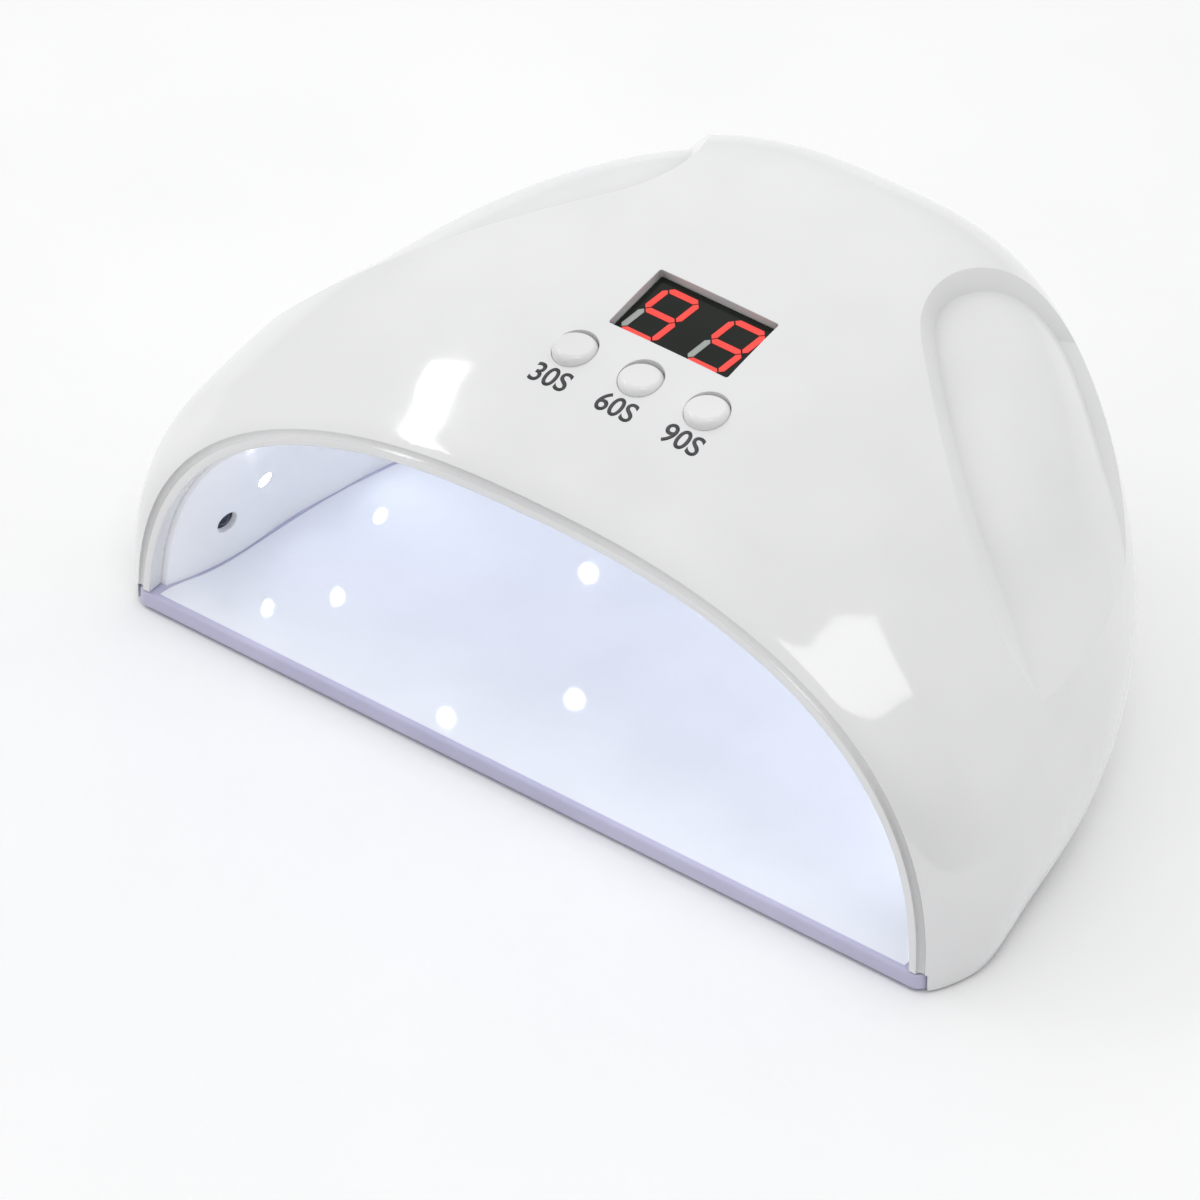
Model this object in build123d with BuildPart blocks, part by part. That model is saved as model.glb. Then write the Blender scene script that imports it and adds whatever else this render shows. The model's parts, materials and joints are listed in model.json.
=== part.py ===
from build123d import *
import math
import os

os.makedirs("parts", exist_ok=True)

# ---------------------------------------------------------------- driving dimensions (mm)
FOOT = 0.8                 # rubber feet stand this far below the tray
DEPTH = 150.0              # depth at which the dome formula closes
BACK = 148.8               # flat pad at the back, where the inlet sits
HALF_WIDTH = 120.0         # widest half width of the arch formula
HEIGHT = 94.0              # top of the dome above the underside of the shell
FRONT_Y = -BACK / 2        # front plane, so the lamp is centred front to back
SHELL_WALL = 2.6
LIP_DEPTH = 4.0            # thickness of the rolled lip, front to back
NOSE = 12.0                # depth over which the lip rolls into the dome
NOSE_LAG = 6.0             # keeps the slope smooth where the nose meets the dome
LEAN = 0.085               # how much the front plane leans back
OPEN_X = 102.4             # hand opening: half width and height
OPEN_Z = 70.3
OPEN_N = 2.43
LIP_EDGE = 1.0             # flat rim around the opening before the roll
GROOVE_OUT = 2.9           # the lip's groove runs this far outside the opening
GROOVE_R = 1.1
TRAY_TOP = 4.6
LINER_WALL = 1.8
LINER_BACK = 127.0
DISPLAY_Y = 59.3
DISPLAY_W = 31.5
DISPLAY_L = 18.3
DISPLAY_DROP = 2.3         # the face sits this far under the shell surface
BUTTON_Y = 41.3
BUTTON_PITCH = 17.5
BUTTON_D = 10.0
BUTTON_PROUD = 0.55
BOARD_TOP = 78.0
BOARD_T = 1.6
ARCH_STEPS = 12


# ---------------------------------------------------------------- dome formulas
def nose_blend(y):
    t = max(0.0, min(1.0, (NOSE - y) / NOSE))
    return math.sqrt(max(0.0, 1.0 - t * t))


def half_width(y):
    if y > 18.3:
        t = min(1.0, (y - 18.3) / (DEPTH - 18.3))
        return HALF_WIDTH * (1.0 - t ** 1.83) ** (1 / 1.83)
    return HALF_WIDTH - 11.0 * ((18.3 - y) / 18.3) ** 2


def crown(y):
    if y > 100.0:
        t = min(1.0, (y - 100.0) / (DEPTH - 100.0))
        return HEIGHT * (1.0 - t ** 2.77) ** (1 / 2.77)
    return HEIGHT - 15.5 * ((100.0 - y) / 88.0) ** 1.75


def tuck(y, width):
    reach = min(1.0, max(0.0, y / 35.0))
    return (5.5 + 7.4 * reach) * width / HALF_WIDTH


def bluntness(y):
    return 2.06 + 0.98 * min(1.0, y / 100.0)


def lean_at(y):
    return LEAN * max(0.0, 1.0 - y / 60.0) ** 1.5


def arch_point(width, height, power, inset, angle):
    c = math.cos(angle)
    s = math.sin(angle)
    x = math.copysign(abs(c) ** (2 / power), c) * width
    z = abs(s) ** (2 / power) * height
    low = max(0.0, 1.0 - z / 43.65)
    return x - math.copysign(min(abs(x), inset * low * low), x), z


def nose_station(y):
    """Where the nose takes its full width and height from: it lags behind y ahead of NOSE."""
    ahead = max(0.0, NOSE - y)
    return y + ahead - ahead / (1.0 + ahead / NOSE_LAG)


def dome_point(y, angle, grow_x, grow_z):
    full_y = nose_station(y)
    width = half_width(full_y) + grow_x
    height = crown(full_y) + grow_z
    x, z = arch_point(width, height, bluntness(full_y), tuck(full_y, width), angle)
    if y < NOSE:
        lip_x, lip_z = arch_point(OPEN_X + LIP_EDGE + grow_x, OPEN_Z + LIP_EDGE + grow_z, OPEN_N, 0.0, angle)
        blend = nose_blend(y)
        x = lip_x + (x - lip_x) * blend
        z = lip_z + (z - lip_z) * blend
    return x, z


def station_plane(y, lean):
    return Plane(origin=(0, FRONT_Y + y, FOOT), x_dir=(1, 0, 0), z_dir=(0, -1, lean))


def angles():
    return [math.pi * i / (2 * ARCH_STEPS) for i in range(2 * ARCH_STEPS + 1)]


def arch_sketch(plane, points, base):
    right = (points[0][0], base)
    left = (points[-1][0], base)
    with BuildSketch(plane) as section:
        with BuildLine():
            Spline(*points)
            Polyline(points[-1], left, right, points[0])
        make_face()
    return section


NOSE_STATIONS = [NOSE * (1 - math.cos(math.radians(a))) for a in (0, 18, 36, 54, 72)]
BODY_STATIONS = [NOSE, 18.0, 28.0, 42.0, 58.0, 76.0, 94.0, 108.0, 120.0, 130.0, 138.0, 143.5, 147.0]


def dome_sections(first, last, grow_x, grow_z, stations):
    result = []
    for y in stations:
        if first < y < last or y in (first, last):
            points = [dome_point(y, a, grow_x, grow_z) for a in angles()]
            result.append(arch_sketch(station_plane(y, lean_at(y)), points, -3.0))
    return result


# ---------------------------------------------------------------- liner formulas
def liner_width(y):
    flare = max(0.0, 1.0 - max(0.0, y - 3.0) / 24.0)
    t = min(1.0, max(0.0, (y - 4.3) / 126.7))
    return (96.1 + 5.6 * flare * flare) * (1.0 - t ** 2.6) ** (1 / 2.6)


def liner_height(y):
    t = min(1.0, max(0.0, (y - 4.3) / 126.7))
    return 69.4 * (1.0 - t ** 3) ** (1 / 3)


def liner_point(y, angle, grow):
    x, z = arch_point(liner_width(y) + grow, liner_height(y) + grow, OPEN_N, 0.0, angle)
    return x, z


def liner_spot(y, degrees):
    angle = math.radians(degrees)
    step = 0.01
    x, z = liner_point(y, angle, 0.0)
    xa, za = liner_point(y, angle + step, 0.0)
    xb, zb = liner_point(y, angle - step, 0.0)
    xc, zc = liner_point(y + 0.5, angle, 0.0)
    lean = lean_at(y)
    along = Vector(xa - xb, lean * (za - zb), za - zb)
    back = Vector(xc - x, 0.5, zc - z)
    inward = along.cross(back).normalized()
    if inward.Z * z + inward.X * x > 0:
        inward = -inward
    return Plane(origin=(x, FRONT_Y + y + lean * z, FOOT + z), x_dir=along.normalized(), z_dir=inward)


def tray_half(y):
    return min(106.1, dome_point(y, 0.0, -SHELL_WALL, 0.0)[0] - 0.4)


def outline_points(inset):
    stations = (32, 44, 56, 68, 80, 92, 104, 114, 123, 131, 137, 142, 145)
    return [(tray_half(y) - inset, FRONT_Y + y) for y in stations]


def base_outline(plane, inset, front):
    points = outline_points(inset)
    corner = (106.1 - inset, FRONT_Y + 22)
    with BuildSketch(plane) as outline:
        with BuildLine():
            Line((0, FRONT_Y + front), (106.1 - inset, FRONT_Y + front))
            Line((106.1 - inset, FRONT_Y + front), corner)
            Spline(corner, *points, tangents=((0, 1), (-1, 0.25)))
            Line(points[-1], (0, points[-1][1]))
            mirror(about=Plane.YZ)
        make_face()
    return outline


# ---------------------------------------------------------------- outer skin of the dome
with BuildPart() as skin:
    for section in dome_sections(0.0, BACK, 0.0, 0.0, NOSE_STATIONS + BODY_STATIONS + [BACK]):
        add(section.sketch)
    loft()

with BuildPart() as hollow:
    inner_stations = [LIP_DEPTH, 5.5, 8.5] + BODY_STATIONS[:-1] + [BACK - SHELL_WALL]
    for section in dome_sections(LIP_DEPTH, BACK - SHELL_WALL, -SHELL_WALL, -SHELL_WALL, inner_stations):
        add(section.sketch)
    loft()

# ---------------------------------------------------------------- bevelled side recesses
RECESS_DEPTH = 3.5
RECESS_FADE_LOW = 43.0     # the recess floor comes up to the dome's surface between these heights
RECESS_FADE_HIGH = 66.0
RECESS_STAND_OFF = 0.9     # below the fade the recess floor lies outside the dome
RECESS_TAPER = 69.0
recess_plane = Plane(origin=(34.5, FRONT_Y + 90, FOOT + 95.0), x_dir=(61.9, -43.5, -37.2),
                     z_dir=(0.562, 0.097, 0.822))


def recess_point(y, angle, extra):
    width = half_width(y)
    height = crown(y)
    x, z = dome_point(y, angle, 0.0, 0.0)
    t = max(0.0, min(1.0, (z - RECESS_FADE_LOW) / (RECESS_FADE_HIGH - RECESS_FADE_LOW)))
    depth = (RECESS_DEPTH + RECESS_STAND_OFF) * t * t * (3 - 2 * t) - RECESS_STAND_OFF + extra
    slope = Vector(x / width ** 2, z / height ** 2, 0).normalized()
    return x - depth * slope.X, z - depth * slope.Y


def recess_loft(extra):
    with BuildPart() as form:
        for y in BODY_STATIONS + [BACK]:
            points = [recess_point(y, a, extra) for a in angles()]
            add(arch_sketch(station_plane(y, lean_at(y)), points, -3.0).sketch)
        loft()
    return form


def recess_wedge(spread):
    """Everything over one side recess, out to its bevelled walls; spread moves the walls outwards."""
    with BuildPart() as wedge:
        with BuildSketch(recess_plane.offset(-5.5 - spread)):
            with BuildLine():
                ThreePointArc((5.0 - spread, 11.6 - spread), (42, 15.6 - spread), (84, 11.6 - spread))
                Line((84, 11.6 - spread), (150, 2.5 - spread))
                Line((150, 2.5 - spread), (150, 120))
                Line((150, 120), (13 - spread, 120))
                Line((13 - spread, 120), (5.0 - spread, 11.6 - spread))
            make_face()
            fillet(vertices().sort_by(Axis.X)[0], radius=3 + spread / 2)
        extrude(amount=16, taper=-RECESS_TAPER)
    return wedge


with BuildPart() as recess_cut:
    add(recess_wedge(0.0).part)
    add(recess_loft(0.0).part, mode=Mode.SUBTRACT)
    mirror(about=Plane.YZ)

with BuildPart() as hollow_relief:
    add(recess_wedge(SHELL_WALL).part)
    add(recess_loft(SHELL_WALL).part, mode=Mode.SUBTRACT)
    mirror(about=Plane.YZ)


def opening_sketch(plane, grow):
    points = [arch_point(OPEN_X + grow, OPEN_Z + grow, OPEN_N, 0.0, a) for a in angles()]
    return arch_sketch(plane, points, -4.0)


front_plane = station_plane(0, LEAN)
display_slope = 10.0
display_top = FOOT + crown(DISPLAY_Y)
display_tilt = math.radians(display_slope)
display_plane = Plane(origin=(0, FRONT_Y + DISPLAY_Y, display_top), x_dir=(1, 0, 0),
                      z_dir=(0, -math.sin(display_tilt), math.cos(display_tilt)))
button_top = FOOT + crown(BUTTON_Y) + BUTTON_PROUD
button_xs = (-BUTTON_PITCH, 0.0, BUTTON_PITCH)
button_y = FRONT_Y + BUTTON_Y
board_posts = [(-30, FRONT_Y + 33.5), (30, FRONT_Y + 33.5), (-30, FRONT_Y + 72), (30, FRONT_Y + 72)]
side_boss = (102.3, FRONT_Y + 26.2)
back_boss = (25.0, FRONT_Y + 137)
flange_bosses = [(-side_boss[0], side_boss[1]), side_boss, (-back_boss[0], back_boss[1]), back_boss]
magnet_spots = [(-102.4, FRONT_Y + 14), (102.4, FRONT_Y + 14), (-44, FRONT_Y + 126), (44, FRONT_Y + 126)]
MAGNET_R = 2.5
FOOT_R = 6.0
FOOT_T = 1.6
FILM_T = 0.38
PLAY = 0.05
FLANGE_LOW = TRAY_TOP + PLAY
FLANGE_HIGH = FLANGE_LOW + 1.6
BOSS_HIGH = 24.0
INLET_Z = 14.5
INLET_L = 11.0
HARNESS_BACK = 5.2         # the LED wiring runs this far behind the liner's inner face
HARNESS_STEP = 13.0        # degrees between the points the wiring passes through

# ---------------------------------------------------------------- supports inside the shell
with BuildPart() as middle_of_wall:
    half_wall = SHELL_WALL / 2
    middle_end = BACK - half_wall
    for section in dome_sections(NOSE, middle_end, -half_wall, -half_wall, BODY_STATIONS + [middle_end]):
        add(section.sketch)
    loft()

with BuildPart() as supports:
    for x, y in board_posts:
        with Locations((x, y, BOARD_TOP)):
            Cylinder(2.6, 20, align=(Align.CENTER, Align.CENTER, Align.MIN))
    # each boss is tied to the wall by a rib
    for x, y in flange_bosses:
        with Locations((x, y, FLANGE_HIGH + 0.02)):
            Cylinder(2.9, BOSS_HIGH - FLANGE_HIGH, align=(Align.CENTER, Align.CENTER, Align.MIN))
    for side in (-1, 1):
        with Locations((side * (side_boss[0] + 11), side_boss[1], (FLANGE_HIGH + 0.4 + BOSS_HIGH) / 2)):
            Box(20, 2.0, BOSS_HIGH - FLANGE_HIGH - 0.4)
        with Locations((side * back_boss[0], back_boss[1] + 11, (FLANGE_HIGH + 0.4 + BOSS_HIGH) / 2)):
            Box(2.0, 20, BOSS_HIGH - FLANGE_HIGH - 0.4)
    add(middle_of_wall.part, mode=Mode.INTERSECT)

# ---------------------------------------------------------------- outer shell
with BuildPart() as outer_shell:
    add(skin.part)
    add(recess_cut.part, mode=Mode.SUBTRACT)
    with BuildPart(mode=Mode.PRIVATE) as room:
        add(hollow.part)
        add(hollow_relief.part, mode=Mode.SUBTRACT)
    add(room.part, mode=Mode.SUBTRACT)
    # hand opening
    with BuildPart(mode=Mode.PRIVATE) as mouth:
        add(opening_sketch(front_plane, 0.0).sketch)
        extrude(amount=10, dir=front_plane.z_dir, both=True)
    add(mouth.part, mode=Mode.SUBTRACT)
    # shallow round groove that runs along the lip, just outside the rim of the opening
    with BuildPart(mode=Mode.PRIVATE) as groove:
        with BuildLine(front_plane) as groove_line:
            crest = [arch_point(OPEN_X + GROOVE_OUT, OPEN_Z + GROOVE_OUT, OPEN_N, 0.0, a) for a in angles()]
            Spline((crest[0][0], -4.0), *crest, (crest[-1][0], -4.0))
        with BuildSketch(Plane(origin=groove_line.line @ 0, z_dir=groove_line.line % 0)):
            Circle(GROOVE_R)
        sweep(path=groove_line.line)
    add(groove.part, mode=Mode.SUBTRACT)
    # flat underside, and room for the exposed front edge of the tray
    with Locations((0, 0, FOOT - 10)):
        Box(300, 300, 20, mode=Mode.SUBTRACT)
    with Locations((0, FRONT_Y + 4, TRAY_TOP + 0.3 - 10)):
        Box(212.8, 18, 20, mode=Mode.SUBTRACT)
    # display window
    with BuildSketch(display_plane.offset(-8)):
        RectangleRounded(DISPLAY_W, DISPLAY_L, 0.6)
    extrude(amount=14, mode=Mode.SUBTRACT)
    # button holes
    with BuildSketch(Plane.XY.offset(70)):
        for x in button_xs:
            with Locations((x, button_y)):
                Circle(BUTTON_D / 2 + 0.08)
    extrude(amount=40, mode=Mode.SUBTRACT)
    # inlet hole through the flat pad at the back
    with BuildSketch(Plane.XZ.offset(-(BACK / 2 + 5))):
        with Locations((0, INLET_Z)):
            Circle(4.15)
    extrude(amount=12, mode=Mode.SUBTRACT)
    # posts that carry the control board, and bosses the flange is screwed up into
    add(supports.part)
    for x, y in board_posts:
        with Locations((x, y, BOARD_TOP + 1.45)):
            Cylinder(0.95, 3.1, mode=Mode.SUBTRACT)
    for x, y in flange_bosses:
        with Locations((x, y, FLANGE_HIGH + 5)):
            Cylinder(1.15, 11, mode=Mode.SUBTRACT)

# ---------------------------------------------------------------- base tray and what it carries
with BuildPart() as tray_blank:
    with BuildSketch(Plane.XY.offset(FOOT)):
        add(base_outline(Plane.XY, 0.0, 0.0).sketch)
        fillet(vertices().group_by(Axis.Y)[0].sort_by(Axis.X)[0], radius=3)
        fillet(vertices().group_by(Axis.Y)[0].sort_by(Axis.X)[-1], radius=3)
    extrude(amount=TRAY_TOP - FOOT)
    fillet(edges().group_by(Axis.Y)[0], radius=0.6)

film_ys = [1.6, 6, 12, 18, 30, 45, 60, 75, 90, 102, 112, 118, 122]


def film_outline(plane, inset):
    points = [(liner_width(max(y, 4.4)) - inset, FRONT_Y + y) for y in film_ys]
    with BuildSketch(plane) as outline:
        with BuildLine():
            Line((0, points[0][1]), points[0])
            Spline(*points)
            Line(points[-1], (0, points[-1][1]))
            mirror(about=Plane.YZ)
        make_face()
    return outline


feet_spots = [(-88, FRONT_Y + 14), (88, FRONT_Y + 14), (-42, FRONT_Y + 120), (42, FRONT_Y + 120)]
with BuildPart() as tray_cuts:
    with BuildSketch(Plane.XY.offset(TRAY_TOP - 0.4)):
        add(film_outline(Plane.XY, 0.5).sketch)
    extrude(amount=2)
    for x, y in feet_spots:
        with Locations((x, y, FOOT)):
            Cylinder(FOOT_R + 0.1, 1.6)
    for x, y in magnet_spots:
        with Locations((x, y, TRAY_TOP)):
            Cylinder(MAGNET_R + PLAY, 3.2)
with BuildPart() as base_tray:
    add(tray_blank.part)
    add(tray_cuts.part, mode=Mode.SUBTRACT)
base_tray.part.label = "base_tray"
export_step(base_tray.part, "parts/base_tray.step")

with BuildPart() as tray_film:
    with BuildSketch(Plane.XY.offset(TRAY_TOP - 0.4)):
        add(film_outline(Plane.XY, 0.6).sketch)
    extrude(amount=FILM_T)
tray_film.part.label = "tray_film"
export_step(tray_film.part, "parts/tray_film.step")

with BuildPart() as rubber_feet:
    for x, y in feet_spots:
        with Locations((x, y, FOOT_T / 2)):
            Cylinder(FOOT_R, FOOT_T)
    fillet(edges().group_by(Axis.Z)[0], radius=0.4)
rubber_feet.part.label = "rubber_feet"
export_step(rubber_feet.part, "parts/rubber_feet.step")

with BuildPart() as tray_magnets:
    for x, y in magnet_spots:
        with Locations((x, y, TRAY_TOP - 0.85)):
            Cylinder(MAGNET_R, 1.5)
tray_magnets.part.label = "tray_magnets"
export_step(tray_magnets.part, "parts/tray_magnets.step")

# ---------------------------------------------------------------- inner reflector
led_rows = [(28.5, (14, 51, 90, 129, 166)), (48.0, (20, 160)), (55.0, (50, 90, 130)), (64.0, (10, 170)),
            (80.0, (60, 120)), (100.0, (40, 140)), (112.0, (60, 120))]
LED_R = 1.8
SENSOR_R = 2.6
HOUSING_R = 4.2            # pads moulded on the back of the liner behind each LED and sensor
led_spots = [liner_spot(y, a) for y, row in led_rows for a in row]
sensor_spots = [liner_spot(18.5, 171.2), liner_spot(18.5, 8.8)]
liner_stations = [4.3, 8, 13, 20.3, 32, 46, 60, 74, 88, 100, 110, 118, 124, LINER_BACK]


def liner_loft(grow, stations):
    with BuildPart() as form:
        for y in stations:
            points = [liner_point(y, a, grow) for a in angles()]
            add(arch_sketch(station_plane(y, lean_at(y)), points, -2.0).sketch)
        loft()
    return form


with BuildPart() as inner_reflector:
    add(liner_loft(LINER_WALL, liner_stations + [LINER_BACK + LINER_WALL]).part)
    with BuildSketch(Plane.XY.offset(FLANGE_LOW)):
        add(base_outline(Plane.XY, 0.35, 4.6).sketch)
    extrude(amount=FLANGE_HIGH - FLANGE_LOW)
    for spot in led_spots:
        with Locations(spot.offset(-1.9)):
            Cylinder(HOUSING_R, 2.2)
    for spot in sensor_spots:
        with Locations(spot.offset(-1.9)):
            Cylinder(HOUSING_R, 2.2)
    # saddle the inlet rests on
    with Locations((0, FRONT_Y + 140.5, (FLANGE_HIGH + INLET_Z - 4.8) / 2)):
        Box(9, 9, INLET_Z - 4.8 - FLANGE_HIGH)
    add(liner_loft(0.0, [3.0] + liner_stations).part, mode=Mode.SUBTRACT)
    with Locations((0, 0, FLANGE_LOW - 10)):
        Box(300, 300, 20, mode=Mode.SUBTRACT)
    for spot in led_spots:
        with Locations(spot.offset(-2)):
            Cylinder(LED_R + 0.1, 8, mode=Mode.SUBTRACT)
    for spot in sensor_spots:
        with Locations(spot.offset(-2)):
            Cylinder(SENSOR_R + 0.1, 8, mode=Mode.SUBTRACT)
    for x, y in flange_bosses:
        with Locations((x, y, FLANGE_LOW)):
            Cylinder(1.4, 6, mode=Mode.SUBTRACT)
            Cylinder(2.5, 1.6, mode=Mode.SUBTRACT)
    for x, y in magnet_spots:
        with Locations((x, y, FLANGE_LOW)):
            Cylinder(MAGNET_R + PLAY, 2.2, mode=Mode.SUBTRACT)
inner_reflector.part.label = "inner_reflector"
export_step(inner_reflector.part, "parts/inner_reflector.step")
outer_shell.part.label = "outer_shell"
export_step(outer_shell.part, "parts/outer_shell.step")

with BuildPart() as flange_magnets:
    for x, y in magnet_spots:
        with Locations((x, y, FLANGE_LOW + 0.6)):
            Cylinder(MAGNET_R, 1.0)
flange_magnets.part.label = "flange_magnets"
export_step(flange_magnets.part, "parts/flange_magnets.step")

with BuildPart() as flange_screws:
    for x, y in flange_bosses:
        with Locations((x, y, FLANGE_LOW + 0.1)):
            Cylinder(2.4, 0.65, align=(Align.CENTER, Align.CENTER, Align.MIN))
            Cylinder(1.1, 9.5, align=(Align.CENTER, Align.CENTER, Align.MIN))
            Cylinder(1.0, 0.5, align=(Align.CENTER, Align.CENTER, Align.MIN), mode=Mode.SUBTRACT)
flange_screws.part.label = "flange_screws"
export_step(flange_screws.part, "parts/flange_screws.step")

# ---------------------------------------------------------------- LEDs and sensors
with BuildPart() as led_beads:
    for spot in led_spots:
        with Locations(spot.offset(-1.9)):
            Cylinder(LED_R, 2.2)
        with Locations(spot.offset(-0.8)):
            Sphere(LED_R, arc_size1=0)
led_beads.part.label = "led_beads"
export_step(led_beads.part, "parts/led_beads.step")

with BuildPart() as led_boards:
    for spot in led_spots:
        with Locations(spot.offset(-3.6)):
            Cylinder(4.0, 1.2)
led_boards.part.label = "led_boards"
export_step(led_boards.part, "parts/led_boards.step")

for spot, name in zip(sensor_spots, ("ir_receiver", "ir_emitter")):
    with BuildPart() as sensor:
        with Locations(spot.offset(-2.6)):
            Cylinder(SENSOR_R, 2.4)
        with Locations(spot.offset(-1.4)):
            Sphere(2.0, arc_size1=0)
        with Locations(spot.offset(-4.4)):
            Cylinder(3.6, 1.2)
    sensor.part.label = name
    export_step(sensor.part, "parts/" + name + ".step")

# ---------------------------------------------------------------- control board and display
with BuildPart() as control_board:
    with BuildSketch(Plane.XY.offset(BOARD_TOP - BOARD_T)):
        with Locations((0, FRONT_Y + 52.75)):
            RectangleRounded(68, 46, 3)
        with Locations(*board_posts):
            Circle(1.2, mode=Mode.SUBTRACT)
    extrude(amount=BOARD_T)
control_board.part.label = "control_board"
export_step(control_board.part, "parts/control_board.step")

with BuildPart() as board_screws:
    for x, y in board_posts:
        with Locations((x, y, BOARD_TOP - BOARD_T)):
            Cylinder(2.1, 1.3, align=(Align.CENTER, Align.CENTER, Align.MAX))
            Cylinder(0.9, 4.4, align=(Align.CENTER, Align.CENTER, Align.MIN))
board_screws.part.label = "board_screws"
export_step(board_screws.part, "parts/board_screws.step")

MODULE_L = DISPLAY_L - 0.4
MODULE_W = DISPLAY_W - 0.4
with BuildPart() as display_module:
    with BuildSketch(display_plane.offset(-DISPLAY_DROP)):
        RectangleRounded(MODULE_W, MODULE_L, 0.4)
    extrude(amount=-8.0)
    for x in (-10.16, -5.08, 0, 5.08, 10.16):
        for y in (DISPLAY_Y - 7, DISPLAY_Y + 7):
            with Locations((x, FRONT_Y + y, BOARD_TOP + 0.02)):
                Cylinder(0.3, 3.6, align=(Align.CENTER, Align.CENTER, Align.MIN))
display_module.part.label = "display_module"
export_step(display_module.part, "parts/display_module.step")

DIGIT_HALF_W = 4.1
DIGIT_HALF_H = 7.0
DIGIT_PITCH = 17.6
DIGIT_DROP = 0.5           # the digits sit a little in front of the window's middle
BAR = 1.55
slant = math.tan(math.radians(8))


def bar_outline(cx, cy, upright):
    reach = (DIGIT_HALF_H / 2 if upright else DIGIT_HALF_W) - 0.22
    half = BAR / 2
    corners = [(-reach, 0), (-reach + half, half), (reach - half, half), (reach, 0), (reach - half, -half),
               (-reach + half, -half)]
    result = []
    for along, across in corners:
        px, py = (cx + across, cy + along) if upright else (cx + along, cy + across)
        result.append((px + py * slant, py))
    return result


def digit_bars(cx, names):
    spots = {
        "a": (cx, DIGIT_HALF_H, False), "g": (cx, 0, False), "d": (cx, -DIGIT_HALF_H, False),
        "f": (cx - DIGIT_HALF_W, DIGIT_HALF_H / 2, True), "b": (cx + DIGIT_HALF_W, DIGIT_HALF_H / 2, True),
        "e": (cx - DIGIT_HALF_W, -DIGIT_HALF_H / 2, True), "c": (cx + DIGIT_HALF_W, -DIGIT_HALF_H / 2, True),
    }
    bars = [bar_outline(*spots[n]) for n in names]
    return [[(x, y - DIGIT_DROP) for x, y in bar] for bar in bars]


for name, bars in (("lit_segments", "abcdfg"), ("unlit_segments", "e")):
    with BuildPart() as segments:
        with BuildSketch(display_plane.offset(-DISPLAY_DROP)):
            for cx in (-DIGIT_PITCH / 2, DIGIT_PITCH / 2):
                for outline in digit_bars(cx, bars):
                    Polygon(*outline, align=None)
        extrude(amount=0.12)
    segments.part.label = name
    export_step(segments.part, "parts/" + name + ".step")

# ---------------------------------------------------------------- push buttons and switches
FLANGE_TOP = 81.9
for x, name in zip(button_xs, ("button_30s", "button_60s", "button_90s")):
    with BuildPart() as button:
        with Locations((x, button_y, FLANGE_TOP - 1.0)):
            Cylinder(6.2, 1.0, align=(Align.CENTER, Align.CENTER, Align.MIN))
            Cylinder(BUTTON_D / 2, button_top - FLANGE_TOP + 1.0, align=(Align.CENTER, Align.CENTER, Align.MIN))
        fillet(edges().group_by(Axis.Z)[-1], radius=1.7)
        with Locations((x, button_y, button_top + 30 - 0.35)):
            Sphere(30, mode=Mode.SUBTRACT)
        with Locations((x, button_y, FLANGE_TOP - 1.0)):
            Cylinder(1.2, 1.55, align=(Align.CENTER, Align.CENTER, Align.MAX))
    button.part.label = name
    export_step(button.part, "parts/" + name + ".step")

with BuildPart() as tact_switches:
    for x in button_xs:
        with Locations((x, button_y, BOARD_TOP)):
            Box(6.0, 6.0, 1.7, align=(Align.CENTER, Align.CENTER, Align.MIN))
        with Locations((x, button_y, BOARD_TOP + 0.3)):
            Cylinder(1.26, 4, align=(Align.CENTER, Align.CENTER, Align.MIN), mode=Mode.SUBTRACT)
tact_switches.part.label = "tact_switches"
export_step(tact_switches.part, "parts/tact_switches.step")

# ---------------------------------------------------------------- inlet and wiring
inlet_front = FRONT_Y + BACK - SHELL_WALL - 0.15
with BuildPart() as dc_inlet:
    with Locations((0, inlet_front, INLET_Z)):
        Box(9.0, INLET_L, 9.6, align=(Align.CENTER, Align.MAX, Align.CENTER))
    with BuildSketch(Plane.XZ.offset(-inlet_front)):
        with Locations((0, INLET_Z)):
            Circle(4.0)
    extrude(amount=-2.6)
    with BuildSketch(Plane.XZ.offset(-(inlet_front + 2.6))):
        with Locations((0, INLET_Z)):
            Circle(2.8)
    extrude(amount=INLET_L, mode=Mode.SUBTRACT)
dc_inlet.part.label = "dc_inlet"
export_step(dc_inlet.part, "parts/dc_inlet.step")

with BuildPart() as inlet_pin:
    with BuildSketch(Plane.XZ.offset(-(inlet_front - 8.4))):
        with Locations((0, INLET_Z)):
            Circle(1.0)
    extrude(amount=-9.0)
inlet_pin.part.label = "inlet_pin"
export_step(inlet_pin.part, "parts/inlet_pin.step")

with BuildPart() as board_connector:
    with Locations((24, FRONT_Y + 66, BOARD_TOP)):
        Box(8, 5.6, 3.4, align=(Align.CENTER, Align.CENTER, Align.MIN))
board_connector.part.label = "board_connector"
export_step(board_connector.part, "parts/board_connector.step")


def wire(points, radius):
    with BuildPart() as run:
        with BuildLine() as path:
            Spline(*points)
        with BuildSketch(Plane(origin=path.line @ 0, z_dir=path.line % 0)):
            Circle(radius)
        sweep(path=path.line)
    return run


inlet_back = inlet_front - INLET_L
for shift, name in ((-1.3, "wire_black"), (1.3, "wire_red")):
    climb = [(shift, inlet_back - 0.9, INLET_Z - 2), (shift * 1.2, inlet_back - 2.6, 30)]
    over = [(4 + shift, FRONT_Y + 131, 56), (14 + shift, FRONT_Y + 112, 73), (22 + shift, FRONT_Y + 90, 81)]
    plugged = (24 + shift, FRONT_Y + 69.3, BOARD_TOP + 1.9)
    with BuildPart() as supply:
        add(wire(climb + over + [plugged], 0.8).part)
    supply.part.label = name
    export_step(supply.part, "parts/" + name + ".step")

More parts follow.
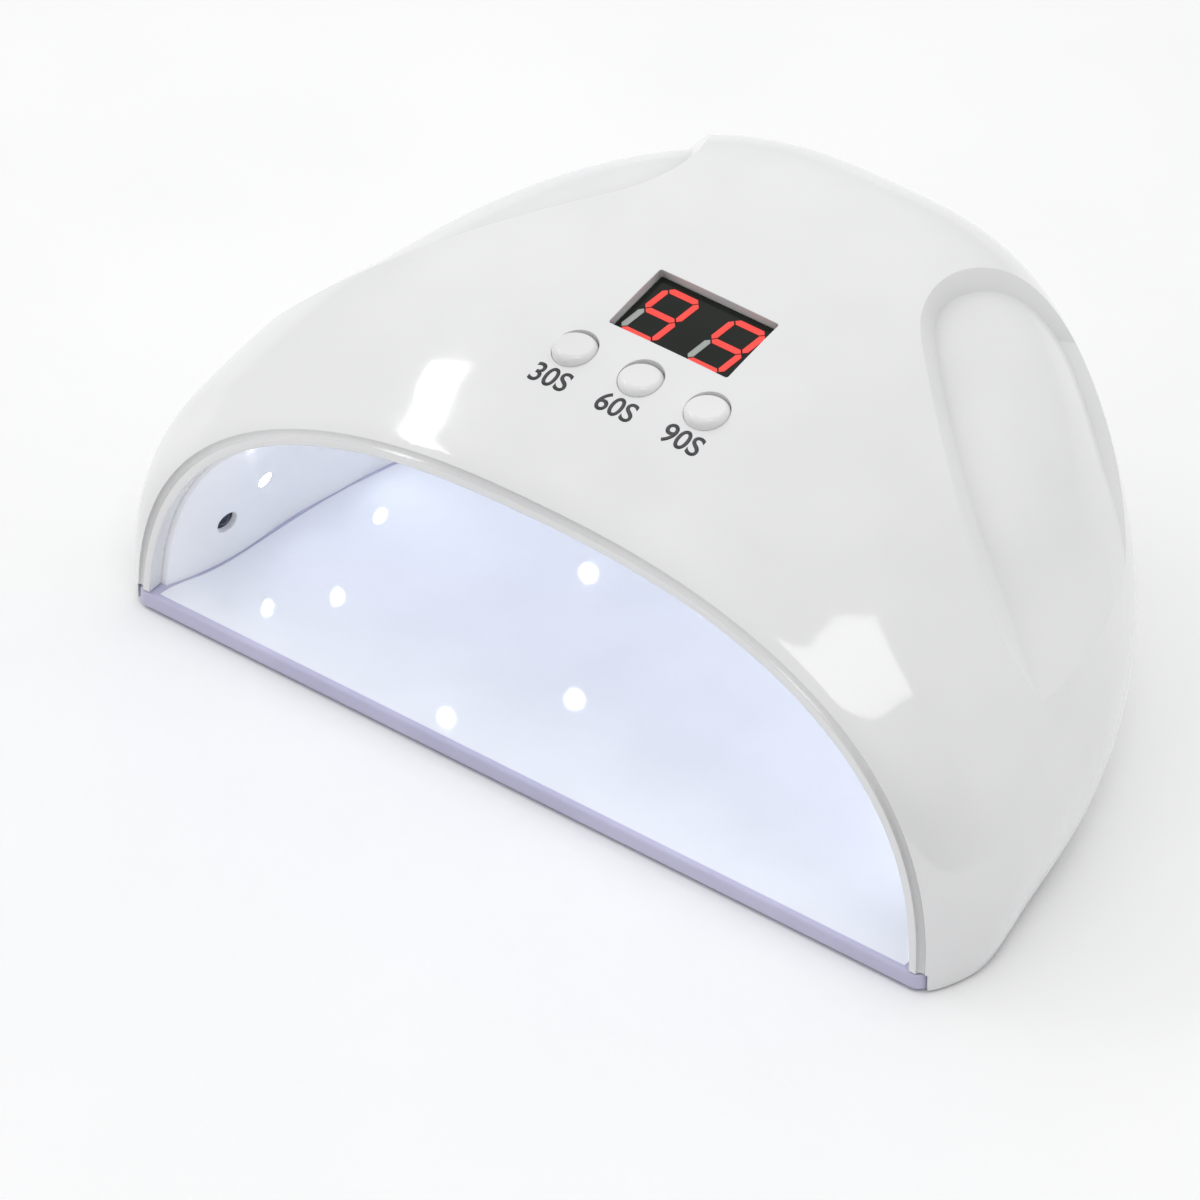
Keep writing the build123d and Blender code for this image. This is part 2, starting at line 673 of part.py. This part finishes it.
with BuildPart() as led_harness:
    for y, row in led_rows:
        first = row[0]
        span = row[-1] - first
        steps = math.ceil(span / HARNESS_STEP)
        along = [first + span * i / steps for i in range(steps + 1)]
        path_points = [tuple(liner_spot(y, a).offset(-HARNESS_BACK).origin) for a in along]
        add(wire(path_points, 0.6).part)
led_harness.part.label = "led_harness"
export_step(led_harness.part, "parts/led_harness.step")
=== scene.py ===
"""The looks of a half-dome nail curing lamp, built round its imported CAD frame.

Metres, +Z up. The hand opening faces -Y and the feet stand on z = 0.
"""

import json
import math

import bmesh
import bpy
from mathutils import Matrix, Vector
from mathutils.bvhtree import BVHTree


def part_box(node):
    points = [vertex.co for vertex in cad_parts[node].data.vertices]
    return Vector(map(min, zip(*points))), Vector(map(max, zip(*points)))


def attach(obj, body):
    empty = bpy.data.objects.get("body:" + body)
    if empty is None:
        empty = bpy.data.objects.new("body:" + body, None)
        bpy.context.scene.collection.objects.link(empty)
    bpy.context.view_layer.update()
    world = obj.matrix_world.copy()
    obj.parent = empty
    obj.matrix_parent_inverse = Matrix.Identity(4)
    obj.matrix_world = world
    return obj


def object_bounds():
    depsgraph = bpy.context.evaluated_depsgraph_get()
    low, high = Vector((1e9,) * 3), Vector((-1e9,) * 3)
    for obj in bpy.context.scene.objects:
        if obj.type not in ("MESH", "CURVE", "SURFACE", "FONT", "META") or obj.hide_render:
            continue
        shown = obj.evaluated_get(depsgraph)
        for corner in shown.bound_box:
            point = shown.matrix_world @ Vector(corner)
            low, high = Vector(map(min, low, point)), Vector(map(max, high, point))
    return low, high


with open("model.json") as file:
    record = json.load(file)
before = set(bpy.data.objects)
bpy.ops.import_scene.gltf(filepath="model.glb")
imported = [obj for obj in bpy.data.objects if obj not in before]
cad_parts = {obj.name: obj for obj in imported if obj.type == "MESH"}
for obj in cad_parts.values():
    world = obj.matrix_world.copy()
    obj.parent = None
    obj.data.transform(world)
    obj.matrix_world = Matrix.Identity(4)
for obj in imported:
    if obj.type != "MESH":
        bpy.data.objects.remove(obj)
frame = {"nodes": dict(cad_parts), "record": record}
cad_low, cad_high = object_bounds()
nodes = frame["nodes"]
scene = bpy.context.scene
MM = 0.001
SWELL_HEIGHT = 0.12 * MM      # slow waviness of every moulded surface
STREAK_HEIGHT = 0.012 * MM    # fine marks on plated metal
PORE_HEIGHT = 0.02 * MM       # pores of rubber, weave of a circuit board
MOULDED_EDGE = 0.2 * MM       # how far sharp edges look rounded on moulded pieces
CUT_EDGE = 0.1 * MM           # and on turned, stamped and milled ones


# ---------------------------------------------------------------- node materials
class Finish:
    """A node material under construction: one principled shader and what feeds it."""

    def __init__(self, name):
        self.material = bpy.data.materials.new(name)
        self.material.use_nodes = True
        self.tree = self.material.node_tree
        self.tree.nodes.clear()
        output = self.node("ShaderNodeOutputMaterial")
        self.shader = self.node("ShaderNodeBsdfPrincipled")
        self.link(self.shader, "BSDF", output, "Surface")
        self.coordinates = self.node("ShaderNodeTexCoord")

    def node(self, kind, **settings):
        made = self.tree.nodes.new(kind)
        for name, value in settings.items():
            setattr(made, name, value)
        return made

    def link(self, source, source_socket, target, target_socket):
        self.tree.links.new(source.outputs[source_socket], target.inputs[target_socket])

    def set(self, **values):
        """Sets whole-surface numbers on the shader's own sockets."""
        for name, value in values.items():
            self.shader.inputs[name.replace("_", " ")].default_value = value

    def noise(self, scale, detail=3.0, roughness=0.5, stretch=(1, 1, 1)):
        """Noise with features 1/scale metres across."""
        mapping = self.node("ShaderNodeMapping")
        mapping.inputs["Scale"].default_value = stretch
        self.link(self.coordinates, "Object", mapping, "Vector")
        texture = self.node("ShaderNodeTexNoise")
        texture.inputs["Scale"].default_value = scale
        texture.inputs["Detail"].default_value = detail
        texture.inputs["Roughness"].default_value = roughness
        self.link(mapping, "Vector", texture, "Vector")
        return texture

    def colour_between(self, factor, socket, low, high, start=0.35, end=0.65):
        """Base colour runs from low to high as the factor runs from start to end."""
        ramp = self.node("ShaderNodeValToRGB")
        ramp.color_ramp.elements[0].position = start
        ramp.color_ramp.elements[1].position = end
        ramp.color_ramp.elements[0].color = (*low, 1)
        ramp.color_ramp.elements[1].color = (*high, 1)
        self.link(factor, socket, ramp, "Fac")
        self.link(ramp, "Color", self.shader, "Base Color")

    def paint_shade_in_hollows(self, reach):
        """Paints shade into the colour in grooves and inner corners, looking reach metres around.
        """
        colour = self.shader.inputs["Base Color"].links[0].from_node
        hollows = self.node("ShaderNodeAmbientOcclusion", samples=8, only_local=True)
        hollows.inputs["Distance"].default_value = reach
        self.link(colour, "Color", hollows, "Color")
        self.link(hollows, "Color", self.shader, "Base Color")

    def roughness_between(self, factor, socket, low, high):
        spread = self.node("ShaderNodeMapRange")
        spread.inputs["From Min"].default_value = 0.3
        spread.inputs["From Max"].default_value = 0.7
        spread.inputs["To Min"].default_value = low
        spread.inputs["To Max"].default_value = high
        self.link(factor, socket, spread, "Value")
        self.link(spread, "Result", self.shader, "Roughness")

    def bump(self, layers, radius=0.0):
        """layers are (node, socket, height in metres); radius rounds sharp edges for the light."""
        normal = None
        if radius:
            normal = self.node("ShaderNodeBevel", samples=6)
            normal.inputs["Radius"].default_value = radius
        for source, socket, height in layers:
            lift = self.node("ShaderNodeBump")
            lift.inputs["Strength"].default_value = 1.0
            lift.inputs["Distance"].default_value = height
            self.link(source, socket, lift, "Height")
            if normal is not None:
                self.link(normal, "Normal", lift, "Normal")
            normal = lift
        self.link(normal, "Normal", self.shader, "Normal")


def moulded_plastic(name, low, high, roughness, grain, grain_height, edge=MOULDED_EDGE, hollows=0.0,
                    **values):
    """Injection-moulded plastic: faint cloudiness, an uneven polish, and a fine surface texture.

    grain is the texture's fineness and grain_height its height in metres; edge rounds sharp edges,
    and hollows is how far from an inner corner painted shade darkens the plastic, both in metres.
    """
    made = Finish(name)
    clouds = made.noise(35, detail=2)
    polish = made.noise(180, detail=4, roughness=0.6)
    fine = made.noise(grain, detail=3)
    swell = made.noise(22, detail=1)
    made.colour_between(clouds, "Fac", low, high)
    made.roughness_between(polish, "Fac", *roughness)
    made.bump([(fine, "Fac", grain_height), (swell, "Fac", SWELL_HEIGHT)], edge)
    # painted shade: the colour is darkened near grooves and inner corners
    if hollows:
        made.paint_shade_in_hollows(hollows)
    made.set(**values)
    return made.material


def metal(name, low, high, roughness, stretch):
    made = Finish(name)
    streaks = made.noise(900, detail=4, roughness=0.6, stretch=stretch)
    stains = made.noise(260, detail=3)
    made.colour_between(stains, "Fac", low, high)
    made.roughness_between(streaks, "Fac", *roughness)
    made.bump([(streaks, "Fac", STREAK_HEIGHT)], CUT_EDGE)
    made.set(Metallic=1.0)
    return made.material


def rubber(name, low, high):
    made = Finish(name)
    bloom = made.noise(420, detail=4, roughness=0.6)
    pores = made.noise(5200, detail=2)
    made.colour_between(bloom, "Fac", low, high)
    made.roughness_between(bloom, "Fac", 0.62, 0.85)
    made.bump([(pores, "Fac", PORE_HEIGHT)], MOULDED_EDGE)
    return made.material


def circuit_board(name, low, high):
    made = Finish(name)
    weave = made.noise(700, detail=2, stretch=(1, 3, 1))
    made.colour_between(weave, "Fac", low, high)
    made.roughness_between(weave, "Fac", 0.28, 0.45)
    made.bump([(weave, "Fac", PORE_HEIGHT)], CUT_EDGE)
    return made.material


# Makes a material glow: real light for the LED lenses and display segments, painted light for the
# liner and reflector film.
def lit(material, colour, strength):
    shader = material.node_tree.nodes["Principled BSDF"]
    shader.inputs["Emission Color"].default_value = (*colour, 1)
    shader.inputs["Emission Strength"].default_value = strength
    return material


finishes = {
    "shell_white": moulded_plastic(
        "shell_white", (0.80, 0.80, 0.805), (0.83, 0.83, 0.833),
        (0.06, 0.12), 7000, 0.002 * MM, 0.3 * MM,
        # painted shade darkens the shell's colour within 12 mm of grooves and inner corners
        hollows=12 * MM, IOR=1.5, Coat_Weight=0.3, Coat_Roughness=0.04),
    # painted light: the liner glows faintly blue to stand in for the LEDs' light bouncing round the
    # inside
    "liner_white": lit(moulded_plastic(
        "liner_white", (0.79, 0.80, 0.82), (0.83, 0.84, 0.86),
        (0.30, 0.42), 4200, 0.006 * MM, IOR=1.48),
        (0.87, 0.90, 1.0), 0.16),
    "tray_grey": moulded_plastic(
        "tray_grey", (0.50, 0.49, 0.66), (0.56, 0.55, 0.72),
        (0.28, 0.40), 3600, 0.008 * MM, IOR=1.48),
    # painted light: the reflector film glows faintly blue to stand in for the LEDs lighting it
    "film_white": lit(moulded_plastic(
        "film_white", (0.79, 0.81, 0.84), (0.83, 0.85, 0.88),
        (0.03, 0.07), 5000, 0.001 * MM, IOR=1.7),
        (0.60, 0.68, 1.0), 0.07),
    "foot_rubber": rubber("foot_rubber", (0.018, 0.018, 0.019), (0.045, 0.045, 0.047)),
    "magnet_steel": metal("magnet_steel", (0.50, 0.50, 0.51), (0.66, 0.66, 0.67),
                          (0.18, 0.34), (1, 1, 8)),
    "screw_steel": metal("screw_steel", (0.40, 0.40, 0.41), (0.58, 0.58, 0.60),
                         (0.22, 0.42), (1, 1, 6)),
    "led_lens": lit(moulded_plastic(
        "led_lens", (0.80, 0.80, 0.86), (0.92, 0.92, 0.96),
        (0.06, 0.12), 4000, 0.002 * MM),
        (0.86, 0.89, 1.0), 40.0),
    "led_board": circuit_board("led_board", (0.72, 0.72, 0.70), (0.84, 0.84, 0.82)),
    "sensor_dark": moulded_plastic(
        "sensor_dark", (0.010, 0.012, 0.045), (0.018, 0.022, 0.075),
        (0.08, 0.16), 5000, 0.003 * MM),
    "board_green": circuit_board("board_green", (0.012, 0.085, 0.030), (0.020, 0.125, 0.050)),
    "display_black": moulded_plastic(
        "display_black", (0.006, 0.008, 0.006), (0.012, 0.016, 0.012),
        (0.05, 0.11), 6000, 0.002 * MM,
        Specular_IOR_Level=0.22),
    "segment_red": lit(moulded_plastic(
        "segment_red", (0.62, 0.035, 0.025), (0.78, 0.06, 0.045),
        (0.25, 0.40), 5000, 0.004 * MM),
        (1.0, 0.07, 0.055), 0.36),
    "segment_pale": moulded_plastic(
        "segment_pale", (0.34, 0.37, 0.34), (0.46, 0.49, 0.46),
        (0.25, 0.40), 5000, 0.004 * MM),
    "button_white": moulded_plastic(
        "button_white", (0.79, 0.79, 0.785), (0.83, 0.83, 0.825),
        (0.10, 0.18), 6000, 0.002 * MM, IOR=1.5),
    "switch_black": moulded_plastic(
        "switch_black", (0.02, 0.02, 0.02), (0.035, 0.035, 0.035),
        (0.40, 0.60), 3000, 0.01 * MM),
    "inlet_black": moulded_plastic(
        "inlet_black", (0.012, 0.012, 0.013), (0.024, 0.024, 0.026),
        (0.35, 0.55), 3000, 0.01 * MM),
    "pin_brass": metal("pin_brass", (0.60, 0.44, 0.20), (0.76, 0.60, 0.32),
                       (0.18, 0.32), (1, 6, 1)),
    "connector_cream": moulded_plastic(
        "connector_cream", (0.66, 0.60, 0.47), (0.76, 0.70, 0.56),
        (0.35, 0.50), 3000, 0.01 * MM),
    "wire_black": moulded_plastic(
        "wire_black", (0.015, 0.015, 0.015), (0.03, 0.03, 0.03),
        (0.40, 0.55), 2500, 0.02 * MM),
    "wire_red": moulded_plastic(
        "wire_red", (0.36, 0.018, 0.012), (0.50, 0.035, 0.025),
        (0.40, 0.55), 2500, 0.02 * MM),
}
label_ink = moulded_plastic(
    "label_ink", (0.050, 0.050, 0.054), (0.080, 0.080, 0.086),
    (0.42, 0.60), 4000, 0.02 * MM)

# ---------------------------------------------------------------- CAD nodes take their finishes
for part in frame["record"]["subparts"]:
    mesh = nodes[part["node"]].data
    mesh.materials.clear()
    mesh.materials.append(finishes[part["material_slot"]])


# ---------------------------------------------------------------- new pieces
def add_piece(name, mesh, body, material):
    made = bpy.data.objects.new(name, mesh)
    scene.collection.objects.link(made)
    mesh.materials.clear()
    mesh.materials.append(material)
    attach(made, body)


ABOVE = 50 * MM               # rays on to the shell start this far above the lamp
shell_mesh = nodes["outer_shell"].data
shell_tree = BVHTree.FromPolygons([v.co.copy() for v in shell_mesh.vertices],
                                  [tuple(p.vertices) for p in shell_mesh.polygons])


def shell_surface(x, y):
    """The point on top of the shell at (x, y), and the outward normal there."""
    above = Vector((x, y, cad_high.z + ABOVE))
    point, normal, _, _ = shell_tree.ray_cast(above, Vector((0, 0, -1)))
    return point, normal


LABEL_HEIGHT = 4.9 * MM       # cap height, measured along the shell
LABEL_FRONT = 6.0 * MM        # from the middle of a button to the top of its label
LABEL_BOLD = 0.014            # how much the strokes are thickened, in letter sizes
LABEL_WIDTH = 0.98            # letters are a little narrow
LABEL_LAY = 0.97              # the shell slopes here, so plan depth is a little less than height
LETTER_STEPS = 6              # points on each curved stretch of a letter
SAME_POINT = 1e-5             # letter points nearer than this, in letter sizes, are merged
INK_RAISE = 0.05 * MM
INK_SINK = 0.05 * MM


def printed_label(name, words, button):
    """Ink on the shell in front of a button: flat letters dropped onto the curved surface."""
    curve = bpy.data.curves.new(name, "FONT")
    curve.body = words
    curve.size = 1.0
    curve.align_x = "CENTER"
    curve.resolution_u = LETTER_STEPS
    curve.offset = LABEL_BOLD
    text = bpy.data.objects.new(name + "_text", curve)
    scene.collection.objects.link(text)
    bpy.context.view_layer.update()
    depsgraph = bpy.context.evaluated_depsgraph_get()
    flat = bpy.data.meshes.new_from_object(text.evaluated_get(depsgraph))
    bpy.data.objects.remove(text)
    tall = max(v.co.y for v in flat.vertices)
    low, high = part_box(button)
    middle = (low.x + high.x) / 2
    top = (low.y + high.y) / 2 - LABEL_FRONT
    scale = LABEL_HEIGHT / tall
    shape = bmesh.new()
    shape.from_mesh(flat)
    bmesh.ops.remove_doubles(shape, verts=shape.verts, dist=SAME_POINT)
    bmesh.ops.triangulate(shape, faces=shape.faces)
    raised = bmesh.ops.extrude_face_region(shape, geom=shape.faces[:])
    raised = {v for v in raised["geom"] if isinstance(v, bmesh.types.BMVert)}
    for v in shape.verts:
        x = middle + v.co.x * scale * LABEL_WIDTH
        y = top - LABEL_HEIGHT * LABEL_LAY + v.co.y * scale * LABEL_LAY
        point, normal = shell_surface(x, y)
        v.co = point + normal * (INK_RAISE if v in raised else -INK_SINK)
    bmesh.ops.recalc_face_normals(shape, faces=shape.faces)
    mesh = bpy.data.meshes.new(name)
    shape.to_mesh(mesh)
    shape.free()
    add_piece(name, mesh, "lamp", label_ink)


for seconds in ("30s", "60s", "90s"):
    printed_label("label_" + seconds, seconds.upper(), "button_" + seconds)

# ---------------------------------------------------------------- floor, light and camera
FLOOR_REACH = 6.0
floor_mesh = bpy.data.meshes.new("floor")
sheet = bmesh.new()
bmesh.ops.create_grid(sheet, x_segments=8, y_segments=8, size=FLOOR_REACH)
sheet.to_mesh(floor_mesh)
sheet.free()
floor = bpy.data.objects.new("floor", floor_mesh)
scene.collection.objects.link(floor)
paper = Finish("floor_paper")
mottle = paper.noise(14, detail=3)
paper.colour_between(mottle, "Fac", (0.95, 0.95, 0.952), (0.965, 0.965, 0.967))
paper.roughness_between(mottle, "Fac", 0.75, 0.9)
floor_mesh.materials.append(paper.material)

scene.world = bpy.data.worlds.new("studio")
scene.world.use_nodes = True
world_tree = scene.world.node_tree
background = world_tree.nodes["Background"]
background.inputs["Strength"].default_value = 1.0
# bright ceiling, greyer walls: the colour grows from the horizon up to CEILING_START
WALLS = (0.73, 0.733, 0.737, 1)
CEILING = (0.93, 0.932, 0.936, 1)
CEILING_START = 0.62          # height of a unit direction vector
direction = world_tree.nodes.new("ShaderNodeTexCoord")
split = world_tree.nodes.new("ShaderNodeSeparateXYZ")
fade = world_tree.nodes.new("ShaderNodeValToRGB")
fade.color_ramp.interpolation = "EASE"
fade.color_ramp.elements[0].position = 0.0
fade.color_ramp.elements[0].color = WALLS
fade.color_ramp.elements[1].position = CEILING_START
fade.color_ramp.elements[1].color = CEILING
world_tree.links.new(direction.outputs["Generated"], split.inputs["Vector"])
world_tree.links.new(split.outputs["Z"], fade.inputs["Fac"])


def toward(azimuth, elevation):
    """Unit vector. Azimuth 0 is in front of the lamp, and grows to its right."""
    a, e = math.radians(azimuth), math.radians(elevation)
    return Vector((math.sin(a) * math.cos(e), -math.cos(a) * math.cos(e), math.sin(e)))


# a dark flag low in front, to the right, shades the lip there
FLAG_TOWARD = toward(48, 8)
FLAG_REACH = (0.66, 0.98)     # cosines of the angles from its middle where it starts and is full
FLAG_DARK = 0.12              # how much of the world's light is left in its middle
flag = world_tree.nodes.new("ShaderNodeVectorMath")
flag.operation = "DOT_PRODUCT"
flag.inputs[1].default_value = FLAG_TOWARD
flag_edge = world_tree.nodes.new("ShaderNodeMapRange")
flag_edge.interpolation_type = "SMOOTHSTEP"
flag_edge.inputs["From Min"].default_value = FLAG_REACH[0]
flag_edge.inputs["From Max"].default_value = FLAG_REACH[1]
flag_edge.inputs["To Min"].default_value = 1.0
flag_edge.inputs["To Max"].default_value = FLAG_DARK
flagged = world_tree.nodes.new("ShaderNodeVectorMath")
flagged.operation = "SCALE"
world_tree.links.new(direction.outputs["Generated"], flag.inputs[0])
world_tree.links.new(flag.outputs["Value"], flag_edge.inputs["Value"])
world_tree.links.new(fade.outputs["Color"], flagged.inputs[0])
world_tree.links.new(flag_edge.outputs["Result"], flagged.inputs["Scale"])
world_tree.links.new(flagged.outputs["Vector"], background.inputs["Color"])

centre = (cad_low + cad_high) / 2


def softbox(name, azimuth, elevation, distance, width, height, power):
    """An area light aimed at the lamp: metres and watts."""
    light = bpy.data.lights.new(name, "AREA")
    light.shape = "RECTANGLE"
    light.size = width
    light.size_y = height
    light.energy = power
    made = bpy.data.objects.new(name, light)
    scene.collection.objects.link(made)
    away = toward(azimuth, elevation)
    made.location = centre + away * distance
    made.rotation_mode = "QUATERNION"
    made.rotation_quaternion = (-away).to_track_quat("-Z", "Y")
    return made


softbox("key_light", -82, 44, 1.5, 0.75, 0.15, 1.75)
softbox("top_light", 58, 66, 1.6, 0.5, 0.56, 2.8)

CAMERA_AZIMUTH = math.radians(38.0)
CAMERA_ELEVATION = math.radians(38.63)
CAMERA_DISTANCE = 2.5424
AIM_RIGHT = 16.84 * MM        # where the camera points, from the middle of the shell's front edge
AIM_UP = 41.04 * MM
LENS = 360                    # mm, as cameras are measured
SENSOR = 36
NEAREST = 0.1
FARTHEST = 50
shell_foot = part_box("outer_shell")[0].z
front_middle = Vector((0, cad_low.y, shell_foot))
right = Vector((math.cos(CAMERA_AZIMUTH), math.sin(CAMERA_AZIMUTH), 0))
back = Vector((math.sin(CAMERA_AZIMUTH) * math.cos(CAMERA_ELEVATION),
               -math.cos(CAMERA_AZIMUTH) * math.cos(CAMERA_ELEVATION), math.sin(CAMERA_ELEVATION)))
up = back.cross(right)
camera_data = bpy.data.cameras.new("camera")
camera_data.lens = LENS
camera_data.sensor_width = SENSOR
camera_data.clip_start = NEAREST
camera_data.clip_end = FARTHEST
camera = bpy.data.objects.new("camera", camera_data)
scene.collection.objects.link(camera)
camera.rotation_mode = "QUATERNION"
camera.rotation_quaternion = Matrix((right, up, back)).transposed().to_quaternion()
camera.location = front_middle + right * AIM_RIGHT + up * AIM_UP + back * CAMERA_DISTANCE
scene.camera = camera
scene.view_settings.view_transform = "Standard"
